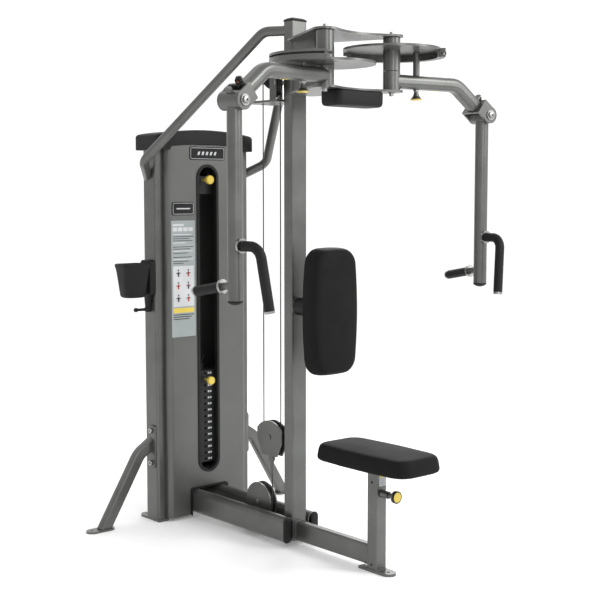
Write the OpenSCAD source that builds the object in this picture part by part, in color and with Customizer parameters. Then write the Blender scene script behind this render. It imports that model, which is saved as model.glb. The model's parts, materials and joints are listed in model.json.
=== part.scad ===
/* [Main frame] */
// Overall height to the top of the upright's cap
total_h = 2030; // [2000:5:2060]
// Width of the upright, across the machine
upright_w = 76.2; // [72:0.1:80]
// Depth of the upright, along the machine
upright_d = 50.8; // [48:0.1:54]
// Wall of every frame tube
wall = 3; // [2.5:0.5:4]
// Height of the two base beams
beam_h = 101.6; // [96:0.2:104]
// Width of each base beam
beam_w = 50.8; // [48:0.2:54]
// Clear height under the base beams
beam_z = 20; // [15:1:25]

/* [Weight tower] */
// Distance from the upright's middle to the front panel
tower_y = 567; // [555:1:575]
// Half width of the front panel
panel_half = 202; // [198:1:206]
// Outer face of each side column from the middle
column_x = 240; // [236:1:246]
// Height of the side columns
column_top = 1560; // [1540:5:1570]
// Height of the panel slot's lower end
slot_low = 186; // [180:1:196]
// Height of the panel slot's upper end
slot_high = 1489; // [1470:1:1495]
// Half width of the slot's trim
slot_half = 55.5; // [52:0.5:58]

/* [Weight stack] */
// Number of plates in the stack
plates = 15; // [10:1:15]
// Thickness of one plate
plate_t = 25.4; // [24:0.1:25.6]
// Rise from one plate to the next
plate_pitch = 26.4; // [26.2:0.1:27]
// Underside of the lowest plate
stack_z = 224; // [220:1:230]

/* [Press arms] */
// Distance of each arm pivot from the middle
pivot_x = 163; // [160:1:166]
// Arm pivots in front of the upright's middle
pivot_y = -353; // [-358:1:-348]
// Pivot to hanging tube, along the arm
arm_reach = 444.5; // [430:0.5:460]
// Forward turn of the arms as stored
arm_turn = 7; // [5:0.5:9]
// Height of the arm tubes' middle
arm_z = 1778; // [1774:1:1782]
// Height of the knuckle pins
knuckle_z = 1669; // [1660:1:1680]
// Lower end of the hanging tubes
hang_z = 1014; // [1005:1:1025]
// Diameter of the rubber grips
grip_d = 34.6; // [32:0.2:36]

/* [Cams and cable] */
// Radius at which the cable leaves each cam
cam_r = 185; // [183:0.5:187]
// Height of the left cam's groove
left_groove_z = 1838; // [1837:1:1839]
// Height of the right cam's groove
right_groove_z = 1876; // [1875:1:1877]
// Diameter of the steel cable
cable_d = 4.8; // [4:0.2:5]
// Front vertical cable, behind the upright's middle
run_front_y = 88; // [87:0.5:90]
// Height of the floating pulley at rest
floating_z = 403; // [398:1:410]

/* [Seat and pads] */
// Distance of the seat post in front of the upright's middle
seat_y = -456; // [-460:1:-452]
// Underside of the seat pad at its lowest
seat_z = 390; // [388:1:394]
// Length of the seat pad
seat_len = 460; // [440:5:470]
// Width of the pads
pad_w = 230; // [220:1:236]
// Height of the back pad's lower end
back_z = 692; // [680:1:700]
// Height of the back pad
back_h = 476; // [460:2:480]

/* [Hidden] */
$fn = 64;
e = 0.01;
// the machine reaches from the seat pad's front to the rear cover
front_y = seat_y - seat_len / 2;
rear_y = 746;
row_y = -(front_y + rear_y) / 2;
// base and columns
beam_x = upright_w / 2 + beam_w / 2;
beam_top = beam_z + beam_h;
beam_front = -33;
foot_t = 10;
column_w = 50;
column_d = 90;
column_y = 645;
column_in = column_x - column_w;
floor_hole_r = 6;
// upright head
plate8 = 8;
pivot_low = 1745;
pivot_high = 1936;
hub_r = 31.75;
shaft_r = 15;
fit = 0.06;
hub_split = 1813;
// cable planes
run_rear_y = run_front_y + 106;
float_r = 53;
float_y = (run_front_y + run_rear_y) / 2;
low_r = 69;
low_y = float_y + low_r;
low_z = 131;
base_run_z = low_z - low_r;
top_r = 50;
tower_r = 40.5;
stack_y = 640;
rear_run_y = stack_y + 2 * tower_r;
tower_wheel_y = stack_y + tower_r;
tower_wheel_top = 1560;
tower_wheel_low = base_run_z + tower_r;
wheel_w = 18;
axle_r = 6;
// stack
plate_half = 140;
plate_d = 96;
guide_x = 110;
guide_r = 9.5;
lifted = 2;
stack_top = stack_z + (plates - 1) * plate_pitch + plate_t;
pin_z = stack_z + (plates - 2) * plate_pitch + plate_t / 2;
// arms
arm_h = 50.8;
arm_w = 60;
drop_a = 38;
knuckle_r = 32;
clevis_in = 40;
clevis_t = 8;
bolt_r = 10;
pin_r = 6;
pin_at = 116;
hang_d = 50.8;
fly_z = 1200;
rear_z = 1070;
// seat
post_s = 50.8;
post_top = 372;
seat_pin_z = 292;

// ---- helpers ----
function unit(v) = v / norm(v);
// rounded rectangle, centred; w along x, h along y
module rrect(w, h, r) {
    if (w - 2 * r > e) square([w - 2 * r, h], center = true);
    if (h - 2 * r > e) square([w, h - 2 * r], center = true);
    for (i = [-1, 1], j = [-1, 1]) translate([i * (w / 2 - r), j * (h / 2 - r)]) circle(r);
}
module tube2d(w, h, r, t = wall) difference() {
    rrect(w, h, r);
    rrect(w - 2 * t, h - 2 * t, max(r - t, 1));
}
module ring2d(ro, ri) difference() { circle(ro); circle(ri); }
module cyl(r, z0, z1) translate([0, 0, z0]) cylinder(h = z1 - z0, r = r);
module mirror_x() { children(); mirror([1, 0, 0]) children(); }
// extrude along +Y (2d x stays x, 2d y becomes z)
module along_y(y0, y1) translate([0, y1, 0]) rotate([90, 0, 0]) linear_extrude(y1 - y0) children();
// extrude along +X (2d x becomes y, 2d y becomes z)
module along_x(x0, x1) translate([x0, 0, 0]) rotate([90, 0, 90]) linear_extrude(x1 - x0) children();
module y_cyl(r, y0, y1) translate([0, y0, 0]) rotate([-90, 0, 0]) cylinder(h = y1 - y0, r = r);
module x_cyl(r, x0, x1) translate([x0, 0, 0]) rotate([0, 90, 0]) cylinder(h = x1 - x0, r = r);
module slab(x0, x1, y0, y1, z0, z1) translate([x0, y0, z0]) cube([x1 - x0, y1 - y0, z1 - z0]);
// a frame with its z axis along z and its x axis nearest x
module in_axes(o, z, x) {
    zz = unit(z);
    xx = unit(x - (x * zz) * zz);
    yy = cross(zz, xx);
    multmatrix([[xx[0], yy[0], zz[0], o[0]], [xx[1], yy[1], zz[1], o[1]],
        [xx[2], yy[2], zz[2], o[2]], [0, 0, 0, 1]]) children();
}
// profile swept along straight legs joined by round bends of radius r
module sweep(pts, r) {
    n = len(pts);
    function dir(i) = unit(pts[i + 1] - pts[i]);
    function bend(i) = acos(min(1, dir(i - 1) * dir(i)));
    function cut(i) = (i <= 0 || i >= n - 1) ? 0 : r * tan(bend(i) / 2);
    function side(i) = i >= n - 2 ? side(n - 3) : unit(dir(i + 1) - (dir(i + 1) * dir(i)) * dir(i));
    for (i = [0:n - 2]) {
        len_i = norm(pts[i + 1] - pts[i]) - cut(i) - cut(i + 1);
        turn_x = i < n - 2 ? side(i) : unit(dir(i) * (dir(i - 1) * dir(i)) - dir(i - 1));
        in_axes(pts[i] + cut(i) * dir(i), dir(i), turn_x) linear_extrude(len_i) children();
        if (i > 0) in_axes(pts[i] - cut(i) * dir(i - 1), dir(i - 1), side(i - 1))
            translate([r, 0, 0]) rotate([90, 0, 180]) round_bend(r, bend(i)) children();
    }
}
// a bend whose ends reach a little way inside the straight legs they meet
module round_bend(r, a) {
    lap = 17.2 / r;
    rotate([0, 0, -lap]) rotate_extrude(angle = a + 2 * lap) translate([r, 0]) scale(0.998) children();
}
// everything is drawn about the upright's middle, then moved to the row frame
module placed() translate([0, row_y, 0]) children();
// a grooved wheel about z, cable centre line at radius r
module wheel(r, w = wheel_w, bore = axle_r + fit) rotate_extrude() difference() {
    polygon([[bore, -w / 2], [bore, w / 2], [bore + 8, w / 2], [bore + 8, 5], [r - 12, 5],
        [r - 8, w / 2], [r + 5, w / 2], [r + 5, w / 2 - 2], [r - 2.6, 2.6], [r - 2.6, -2.6],
        [r + 5, -w / 2 + 2], [r + 5, -w / 2], [r - 8, -w / 2], [r - 12, -5], [bore + 8, -5],
        [bore + 8, -w / 2]]);
}
module wheel_x(r, w = wheel_w) rotate([0, 90, 0]) wheel(r, w);

// ---- main frame ----
module upright() color([0.45, 0.45, 0.43]) placed()
    translate([0, 0, beam_z]) linear_extrude(total_h - 16 - beam_z) tube2d(upright_w, upright_d, 8);

module end_caps() color([0.1, 0.1, 0.1]) placed() {
    translate([0, 0, total_h - 16]) {
        hull() {
            linear_extrude(4) rrect(upright_w + 6, upright_d + 6, 11, $fn = 32);
            translate([0, 0, 14]) linear_extrude(2) rrect(upright_w - 26, upright_d - 22, 12, $fn = 32);
        }
        translate([0, 0, -14]) linear_extrude(14) rrect(upright_w - 7, upright_d - 7, 5);
    }
    for (s = [-1, 1]) translate([s * beam_x, 0, beam_z + beam_h / 2]) {
        hull() {
            along_y(beam_front - 3, beam_front) rrect(beam_w, beam_h, beam_w / 2, $fn = 32);
            along_y(beam_front - 6, beam_front - 5) rrect(beam_w - 8, beam_h - 8, beam_w / 2 - 4, $fn = 32);
        }
        along_y(beam_front, beam_front + 14) rrect(beam_w - 7, beam_h - 7, beam_w / 2 - 3.5);
    }
}

module base_beams() color([0.45, 0.45, 0.43]) placed() mirror_x()
    translate([beam_x, 0, beam_z + beam_h / 2]) along_y(beam_front, 690) tube2d(beam_w, beam_h, beam_w / 2);

module panel_trim() color([0.1, 0.1, 0.1]) placed() {
    mid = (slot_low + slot_high) / 2;
    tall = slot_high - slot_low;
    translate([0, 0, mid]) along_y(tower_y - 4, tower_y) difference() {
        rrect(2 * slot_half, tall, slot_half);
        rrect(2 * slot_half - 22, tall - 22, slot_half - 11);
    }
    translate([0, 0, mid]) along_y(tower_y, tower_y + 16) difference() {
        rrect(2 * slot_half - 10, tall - 10, slot_half - 5);
        rrect(2 * slot_half - 22, tall - 22, slot_half - 11);
    }
    // collar round both base beams where they enter the panel
    out = beam_x + beam_w / 2 + 9;
    along_y(tower_y - 5, tower_y) difference() {
        translate([0, (beam_top + 9) / 2 + 4]) rrect(2 * out, beam_top + 1, 14);
        translate([0, beam_top / 2]) rrect(2 * out - 17, beam_top + 1, 10);
    }
}

module seat_beam() color([0.45, 0.45, 0.43]) placed()
    translate([0, 0, 38.1 + beam_z]) along_y(seat_y + post_s / 2, -upright_d / 2) tube2d(38.1, 76.2, 10);

module seat_post() color([0.45, 0.45, 0.43]) placed() {
    difference() {
        union() {
            translate([0, seat_y, foot_t]) linear_extrude(post_top - foot_t) tube2d(post_s, post_s, 6);
            // guide barrel for the seat's pull pin
            translate([0, seat_y - post_s / 2, seat_pin_z]) y_cyl(13, -36, 1);
        }
        translate([0, seat_y - post_s / 2, seat_pin_z]) y_cyl(pin_r + fit, -50, 10);
    }
    // foot plate with its floor-bolt hole
    difference() {
        union() {
            slab(-27, 27, seat_y - 62, seat_y + 68, 0, foot_t);
            translate([0, seat_y - 62, 0]) cylinder(h = foot_t, r = 27);
        }
        translate([0, seat_y - 62, -1]) cylinder(h = foot_t + 2, r = floor_hole_r);
    }
}

module pad_mount() color([0.08, 0.08, 0.08]) placed() translate([0, 0, back_z + back_h / 2 + 7]) {
    y_cyl(35, -161, -upright_d / 2);
    translate([0, 0, -7]) along_y(-167, -161) rrect(150, 330, 20);
}

module back_pad() color([0.07, 0.07, 0.07]) placed() translate([0, 0, back_z + back_h / 2]) hull() {
    along_y(-172, -167.4) rrect(pad_w - 20, back_h - 20, 48, $fn = 32);
    along_y(-228, -180) rrect(pad_w, back_h - 12, 60, $fn = 32);
    along_y(-228, -180) rrect(pad_w - 44, back_h, 48, $fn = 32);
    along_y(-250, -246) rrect(pad_w - 40, back_h - 40, 44, $fn = 32);
}

// ---- weight tower ----
module tower_frame() color([0.45, 0.45, 0.43]) placed() {
    mirror_x() {
        // side column on its foot plate, drilled for the side leg's bolts
        difference() {
            translate([column_x - column_w / 2, column_y, foot_t]) linear_extrude(column_top - foot_t)
                tube2d(column_w, column_d, 12);
            for (s = [-1, 1]) translate([0, 632, 317 + s * 68]) x_cyl(6.3, column_x - 20, column_x + 5);
        }
        difference() {
            union() {
                slab(column_in, column_x, column_y - 50, 722, 0, foot_t);
                translate([column_x - column_w / 2, 722, 0]) cylinder(h = foot_t, r = column_w / 2 - e);
            }
            translate([column_x - column_w / 2, 722, -1]) cylinder(h = foot_t + 2, r = floor_hole_r);
        }
        // tie to the base beam
        translate([0, column_y, beam_z + beam_h / 2]) along_x(beam_x + beam_w / 2, column_in)
            tube2d(60, 46, 8);
    }
    // shelf under the stack
    difference() {
        slab(-column_in, column_in, 602, 686, 184, 196);
        for (s = [-1, 1]) translate([s * guide_x, stack_y, 100]) cylinder(h = 200, r = guide_r + 0.05);
        translate([0, stack_y, 100]) cylinder(h = 200, r = 16);
    }
    // head plate with the upper wheel's cheeks
    difference() {
        slab(-column_in, column_in, 602, 686, 1498, 1506);
        for (s = [-1, 1]) translate([s * guide_x, stack_y, 1400]) cylinder(h = 200, r = guide_r + 0.05);
        translate([0, stack_y, 1400]) cylinder(h = 200, r = 9);
    }
    difference() {
        for (s = [-1, 1]) slab(s * 15 - 2.5, s * 15 + 2.5, 650, 712, 1506, tower_wheel_top + 16);
        translate([0, tower_wheel_y, tower_wheel_top]) x_cyl(axle_r + fit, -40, 40);
    }
    // cheeks of the lower tower wheel, welded to the shelf
    difference() {
        for (s = [-1, 1]) slab(s * 15 - 2.5, s * 15 + 2.5, 655, 686, tower_wheel_low - 14, 184);
        translate([0, tower_wheel_y, tower_wheel_low]) x_cyl(axle_r + fit, -40, 40);
    }
}

module front_shroud() color([0.45, 0.45, 0.43]) placed() difference() {
    depth = 31;
    translate([0, 0, 14]) linear_extrude(column_top + 8 - 14) difference() {
        translate([0, tower_y + 60]) rrect(2 * panel_half, 120, 22);
        translate([0, tower_y + 60]) rrect(2 * panel_half - 5, 115, 19.5);
        translate([-300, tower_y + depth]) square([600, 200]);
    }
    translate([0, 0, (slot_low + slot_high) / 2]) along_y(tower_y - 10, tower_y + 10)
        rrect(2 * slot_half - 9, slot_high - slot_low - 9, slot_half - 4.5);
    along_y(tower_y - 10, tower_y + 10) translate([0, beam_top / 2]) rrect(2 * beam_x + beam_w + 4, beam_top + 4, 10);
}

module rear_cover() color([0.4, 0.4, 0.38]) placed() translate([0, 0, 30])
    linear_extrude(column_top - 34) difference() {
        translate([0, rear_y - 43.5]) rrect(2 * column_in - 4, 80, 26);
        translate([0, rear_y - 43.5]) rrect(2 * column_in - 9, 75, 23.5);
        translate([-300, 600]) square([600, 92]);
    }

module tower_cap() color([0.1, 0.1, 0.1]) placed() {
    z0 = column_top - 14;
    arch_r = 1400;
    difference() {
        intersection() {
            translate([0, rear_y - 93, z0]) linear_extrude(100) rrect(2 * column_x + 12, 186, 20);
            translate([0, 0, 1631 - arch_r]) along_y(500, 800) circle(arch_r, $fn = 360);
        }
        intersection() {
            translate([0, rear_y - 93, z0 - 1]) linear_extrude(100) rrect(2 * column_x + 6, 180, 17);
            translate([0, 0, 1627 - arch_r]) along_y(500, 800) circle(arch_r, $fn = 360);
        }
        // arched lower edge over the front panel
        translate([0, 0, 1570 - 2000]) along_y(550, 572) intersection() {
            circle(2000, $fn = 480);
            translate([-188, 0]) square([376, 2100]);
        }
    }
}

module nameplates() color([0.1, 0.1, 0.1]) placed() {
    translate([0, 0, 1534]) along_y(tower_y - 3, tower_y) rrect(180, 54, 9);
    translate([-125, 0, 1306]) along_y(tower_y - 3, tower_y) rrect(111, 54, 9);
    translate([-125, 0, 1016]) along_y(tower_y - 1, tower_y) rrect(121, 484, 4);
}

module guide_rods() color([0.8, 0.8, 0.8]) placed() mirror_x()
    translate([guide_x, stack_y, 0]) cyl(guide_r, 184, 1506);

module stack_cushions() color([0.05, 0.05, 0.05]) placed() mirror_x()
    translate([guide_x, stack_y, 196]) linear_extrude(stack_z - 0.2 - 196) ring2d(24, guide_r + 0.3);

module plate_solid(i) translate([0, stack_y, stack_z + i * plate_pitch]) difference() {
    linear_extrude(plate_t) difference() {
        rrect(2 * plate_half, plate_d, 4);
        for (s = [-1, 1]) translate([s * guide_x, 0]) circle(guide_r + 1.5);
        circle(15);
    }
    translate([0, 0, plate_t / 2]) y_cyl(5.5, -plate_d / 2 - 1, 0);
}

module resting_plates() color([0.12, 0.12, 0.12]) placed() for (i = [0:plates - lifted - 1]) plate_solid(i);

module addon_weight() color([0.12, 0.12, 0.12]) placed() {
    difference() {
        slab(-52, 52, 604, 676, 1366, 1440);
        translate([0, stack_y, 1300]) cylinder(h = 200, r = 12);
        translate([0, 0, 1425]) y_cyl(5 + fit, 590, 626);
    }
    for (s = [-1, 1]) slab(s * 42 - 4, s * 42 + 4, 616, 664, 1440, 1498);
}

module side_legs() color([0.45, 0.45, 0.43]) placed() mirror_x() {
    top = [column_x - 20, 648, 343];
    elbow = [302, 648, 290];
    foot = [477, 648, -2];
    x0 = column_x + 8;
    intersection() {
        sweep([top, elbow, foot], 90) tube2d(50.8, 38.1, 11);
        slab(x0, 700, 600, 700, 8, 500);
    }
    translate([0, 632, 317]) along_x(column_x, x0) difference() {
        rrect(46, 178, 14);
        for (s = [-1, 1]) translate([0, s * 68]) circle(6.5);
    }
    difference() {
        translate([490, 648, 0]) linear_extrude(8) rrect(124, 54, 26);
        translate([530, 648, -1]) cylinder(h = 10, r = floor_hole_r);
    }
}

module frame_bolts() color([0.8, 0.8, 0.8]) placed() {
    // leg bolts through the column's outer wall
    mirror_x() for (s = [-1, 1]) translate([0, 632, 317 + s * 68]) {
        x_cyl(6.2, column_x - wall - e, column_x + 8 + e);
        x_cyl(11, column_x + 8, column_x + 16);
    }
    // bolts on the pivot shafts, above and below the plates
    mirror_x() translate([pivot_x, pivot_y, 0]) {
        cyl(13, pivot_high + plate8, pivot_high + plate8 + 3);
        cyl(8, pivot_high + plate8 + 3, pivot_high + plate8 + 10);
        cyl(13, pivot_low - plate8 - 3, pivot_low - plate8);
        cyl(8, pivot_low - plate8 - 10, pivot_low - plate8 - 3);
    }
}

module braces() color([0.45, 0.45, 0.43]) placed() mirror_x() difference() {
    sweep([[column_x - 12, 668, 1434], [316, 566, 1498], [72, 100, 1982], [16, 13, 1982]], 60)
        ring2d(19, 19 - wall);
    slab(-upright_w / 2, upright_w / 2, -40, upright_d / 2, 1900, 2060);
    slab(column_in, column_x, 600, 720, 1380, 1500);
}

module storage_bin() color([0.07, 0.07, 0.07]) placed() {
    // bucket with a rolled rim
    translate([-325, 640, 945]) difference() {
        union() {
            linear_extrude(135) rrect(118, 96, 26);
            translate([0, 0, 126]) linear_extrude(12) rrect(130, 108, 30);
        }
        translate([0, 0, 3]) linear_extrude(140) rrect(112, 90, 23);
    }
    // saddle on the column and the stem with its peg
    slab(-266, -column_x, 605, 680, 950, 1096);
    slab(-252, -column_x, 630, 656, 880, 950);
    translate([0, 643, 893]) {
        x_cyl(6, -322, -252);
        translate([-322, 0, 0]) sphere(9);
    }
}

// ---- upright head ----
module wishbone() difference() {
    union() {
        for (s = [-1, 1]) translate([s * pivot_x, pivot_y]) circle(42);
        polygon([[-pivot_x, pivot_y - 42], [pivot_x, pivot_y - 42], [pivot_x + 38, pivot_y + 20],
            [60, -upright_d / 2], [-60, -upright_d / 2], [-pivot_x - 38, pivot_y + 20]]);
    }
    translate([0, pivot_y - 42 - 216]) circle(263, $fn = 180);
}

module pivot_frame() color([0.45, 0.45, 0.43]) placed() {
    difference() {
        union() {
            translate([0, 0, pivot_high]) linear_extrude(plate8) wishbone();
            translate([0, 0, pivot_low - plate8]) linear_extrude(plate8) wishbone();
        }
        for (s = [-1, 1]) translate([s * pivot_x, pivot_y, 1700]) cylinder(h = 300, r = shaft_r + 0.05);
    }
    for (s = [-1, 1]) slab(s * 30 - 4, s * 30 + 4, -150, -upright_d / 2, pivot_low, pivot_high);
}

module pivot_shafts() color([0.7, 0.7, 0.7]) placed() mirror_x() translate([pivot_x, pivot_y, 0]) {
    cyl(shaft_r, pivot_low - plate8, pivot_high + plate8);
}

module head_guard() color([0.08, 0.08, 0.08]) placed() translate([0, -321, 1679]) hull() {
    translate([0, 0, 10]) linear_extrude(48) rrect(236, 108, 24, $fn = 32);
    linear_extrude(3) rrect(212, 84, 16, $fn = 32);
}

// the point where the cable leaves a cam of radius cam_r towards a drop on the middle plane
function drop_off(y) = let (v = [pivot_x, y - pivot_y], d = norm(v), a = atan2(v[1], v[0]) + acos(cam_r / d))
    [-pivot_x + cam_r * cos(a), pivot_y + cam_r * sin(a)];
function cam_angle(y) = atan2(y - pivot_y, pivot_x) + acos(cam_r / norm([pivot_x, y - pivot_y]));
function way(y) = unit([0, y] - drop_off(y));

// in the vertical plane of an upper wheel: x along the cable's way, y up, z across
module wheel_plane(y, z, s) mirror([s > 0 ? 1 : 0, 0, 0]) {
    w = way(y);
    c = [-top_r * w[0], y - top_r * w[1], z - top_r];
    multmatrix([[w[0], 0, w[1], c[0]], [w[1], 0, -w[0], c[1]], [0, 1, 0, c[2]], [0, 0, 0, 1]]) children();
}

module pulley_brackets() color([0.42, 0.42, 0.4]) placed() {
    // shelf behind the upright
    difference() {
        slab(-70, 70, upright_d / 2, 225, 1716, 1724);
        for (y = [run_front_y, run_rear_y]) translate([0, y, 1700]) cylinder(h = 50, r = 10);
    }
    for (q = [[run_front_y, left_groove_z, -1], [run_rear_y, right_groove_z, 1]])
        wheel_plane(q[0], q[1], q[2]) difference() {
            z0 = 1724 - (q[1] - top_r);
            for (s = [-1, 1]) translate([-30, z0, s * 12.5 - 2]) cube([50, 20 - z0, 4]);
            translate([0, 0, -50]) cylinder(h = 100, r = axle_r + fit);
        }
    // round cheeks of the lower wheel on a plate between the base beams
    translate([0, low_y, low_z]) difference() {
        for (s = [-1, 1]) along_x(s * 15 - 2.5, s * 15 + 2.5) union() {
            circle(77);
            translate([-60, -100]) square([120, 60]);
        }
        x_cyl(axle_r + fit, -40, 40);
    }
    slab(-upright_w / 2, upright_w / 2, low_y - 60, low_y + 60, 40, 46);
}

module axle_x(half, head) {
    x_cyl(axle_r, -half, half);
    for (s = [-1, 1]) x_cyl(head, s * half - (s > 0 ? 0 : 4), s * half + (s > 0 ? 4 : 0));
}

module pulley_axles() color([0.8, 0.8, 0.8]) placed() {
    translate([0, low_y, low_z]) axle_x(18, 10);
    translate([0, tower_wheel_y, tower_wheel_top]) axle_x(18, 10);
    translate([0, tower_wheel_y, tower_wheel_low]) axle_x(18, 10);
    for (q = [[run_front_y, left_groove_z, -1], [run_rear_y, right_groove_z, 1]])
        wheel_plane(q[0], q[1], q[2]) rotate([0, -90, 0]) axle_x(14.7, 9);
}

// ---- cables ----
cable_r = cable_d / 2;
// a bent stretch of cable, a hair short of the straights it meets
module cable_bend(r, a) rotate([0, 0, 2 / r]) rotate_extrude(angle = a - 4 / r)
    translate([r, 0]) circle(cable_r, $fn = 24);
module fixed_cables() color([0.3, 0.3, 0.3]) placed() {
    // from each cam's anchor round its groove, straight to the upper wheel and over it
    for (q = [[run_front_y, left_groove_z, -1], [run_rear_y, right_groove_z, 1]]) {
        mirror([q[2] > 0 ? 1 : 0, 0, 0]) {
            p = drop_off(q[0]);
            w = way(q[0]);
            end = [0, q[0]] - top_r * w;
            sweep_len = norm(end - p);
            in_axes([p[0], p[1], q[1]], [w[0], w[1], 0], [0, 0, 1]) cylinder(h = sweep_len, r = cable_r, $fn = 24);
            translate([-pivot_x, pivot_y, q[1]]) rotate([0, 0, cam_angle(q[0])])
                cable_bend(cam_r, 227 - cam_angle(q[0]));
        }
        wheel_plane(q[0], q[1], q[2]) cable_bend(top_r, 90);
    }
    // under the lower wheel, back to the tower, up its rear and over the top wheel
    translate([0, low_y, low_z]) rotate([90, 0, 90]) rotate([0, 0, 180])
        cable_bend(low_r, 90);
    translate([0, 0, base_run_z]) y_cyl(cable_r, low_y, tower_wheel_y);
    translate([0, tower_wheel_y, tower_wheel_low]) rotate([90, 0, 90]) rotate([0, 0, -90])
        cable_bend(tower_r, 90);
    translate([0, rear_run_y, 0]) cyl(cable_r, tower_wheel_low, tower_wheel_top);
    translate([0, tower_wheel_y, tower_wheel_top]) rotate([90, 0, 90])
        cable_bend(tower_r, 180);
}

module drop_cables() color([0.3, 0.3, 0.3]) placed() {
    translate([0, run_front_y, 0]) cyl(cable_r, floating_z, left_groove_z - top_r);
    translate([0, run_rear_y, 0]) cyl(cable_r, floating_z, right_groove_z - top_r);
}

stem_top = stack_top + 58;
module stack_cable() color([0.3, 0.3, 0.3]) placed()
    translate([0, stack_y, 0]) cyl(cable_r, stem_top, tower_wheel_top);

adjuster_low = floating_z - 150;
module lift_cable() color([0.3, 0.3, 0.3]) placed()
    translate([0, float_y, 0]) cyl(cable_r, low_z, adjuster_low);

// ---- cams (drawn for the left side) ----
module cam(groove_z, plate_z, hang) translate([-pivot_x, pivot_y, 0]) {
    rim_low = groove_z - 12;
    difference() {
        union() {
            cyl(hub_r, hub_split + 2, pivot_high - 2);
            cyl(178, plate_z, plate_z + 8);
            // grooved rim over the outer side
            rotate([0, 0, 68]) rotate_extrude(angle = 160) difference() {
                translate([166, min(rim_low, plate_z)]) square([30, max(groove_z + 12, plate_z + 8)
                    - min(rim_low, plate_z)]);
                translate([cam_r - 3.4, groove_z - 3.6]) square([40, 7.2]);
            }
            // anchor eye at the rim's front end
            rotate([0, 0, 229]) translate([cam_r + 2, 0, groove_z]) rotate([90, 0, 0])
                linear_extrude(10, center = true) ring2d(12, 6);
        }
        cyl(shaft_r + fit, 1700, 2000);
        // index holes for the arm's pull pin
        for (a = [180 + arm_turn - 60:20:180 + arm_turn + 60])
            rotate([0, 0, a]) translate([pin_at, 0, plate_z - 1]) cylinder(h = 10, r = pin_r + 0.6);
    }
}
module left_cam() color([0.5, 0.5, 0.48]) placed() cam(left_groove_z, left_groove_z - 22, 0);
module right_cam() color([0.5, 0.5, 0.48]) placed() mirror([1, 0, 0]) cam(right_groove_z, right_groove_z + 12, 1);

// ---- arms (drawn for the right side, x outward from the pivot) ----
module arm_axes(s) mirror([s < 0 ? 1 : 0, 0, 0]) translate([pivot_x, pivot_y, 0])
    rotate([0, 0, -arm_turn]) children();
drop = arm_z - knuckle_z;
corner_x = arm_reach - drop / tan(drop_a);
diag = [cos(drop_a), 0, -sin(drop_a)];
module at_knuckle() translate([arm_reach, 0, knuckle_z]) children();
// frame at the knuckle: x back up the sloping tube, z along the pin
module clevis_plane() at_knuckle() rotate([90, 0, 0]) rotate([0, 0, 180 - drop_a]) children();

module arm(post_top_z) {
    difference() {
        union() {
            cyl(hub_r, pivot_low + 1, hub_split);
            sweep([[6, 0, arm_z], [corner_x, 0, arm_z], [arm_reach, 0, knuckle_z] - 50 * diag], 80)
                tube2d(arm_h, arm_w, 20);
            translate([pin_at, 0, 0]) cyl(12.5, arm_z - arm_h / 2 + 1, post_top_z);
            // clevis: two cheeks and the end plate that joins them to the tube
            clevis_plane() {
                for (s = [-1, 1]) translate([0, 0, s * (clevis_in + clevis_t / 2) - clevis_t / 2])
                    linear_extrude(clevis_t) union() {
                        circle(knuckle_r);
                        translate([0, -31]) square([54, 62]);
                    }
                translate([46, -31, -clevis_in - 1]) cube([8, 62, 2 * clevis_in + 2]);
            }
        }
        cyl(shaft_r + fit, 1700, 1900);
        translate([pin_at, 0, 0]) cyl(pin_r + fit, 1700, 1900);
        clevis_plane() translate([0, 0, -60]) cylinder(h = 120, r = bolt_r + 0.1);
    }
}
post_left = left_groove_z - 22 - 0.6;
post_right = right_groove_z + 12 - 0.6;
module left_arm() color([0.45, 0.45, 0.43]) placed() arm_axes(-1) arm(post_left);
module right_arm() color([0.45, 0.45, 0.43]) placed() arm_axes(1) arm(post_right);

module knuckle_pin() at_knuckle() {
    end = clevis_in + clevis_t;
    y_cyl(bolt_r, -end, end);
    for (s = [-1, 1]) {
        y_cyl(19, s > 0 ? end : -end - 4, s > 0 ? end + 4 : -end);
        y_cyl(12, s > 0 ? end + 4 : -end - 8, s > 0 ? end + 8 : -end - 4);
    }
}
module left_knuckle_pin() color([0.8, 0.8, 0.8]) placed() arm_axes(-1) knuckle_pin();
module right_knuckle_pin() color([0.8, 0.8, 0.8]) placed() arm_axes(1) knuckle_pin();

// rubber stops on the clevis end plate, for the swing in and the swing out
module stops() clevis_plane() {
    translate([46, -24, 0]) rotate([0, -90, 0]) cylinder(h = 14, r = 11);
    translate([54, 26, 0]) rotate([0, -90, 0]) translate([0, 0, 8]) cylinder(h = 8, r = 7);
}
module left_stops() color([0.06, 0.06, 0.06]) placed() arm_axes(-1) stops();
module right_stops() color([0.06, 0.06, 0.06]) placed() arm_axes(1) stops();

// forearm: knuckle barrel, hanging tube and the cores of both handles
core_r = 12.7;
fly_route = [[arm_reach, -23, fly_z], [arm_reach, -112, fly_z - 1], [417.6, -131.4, 985]];
fly_end = unit(fly_route[2] - fly_route[1]);
rear_a = 10;
rear_len = 172;
module rear_axis() translate([arm_reach, 23, rear_z]) rotate([-90 - rear_a, 0, 0]) children();
module fly_sweep(a, b) sweep([fly_route[0] + [0, -a, 0], fly_route[1], fly_route[2] - b * fly_end], 44) children();

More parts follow.
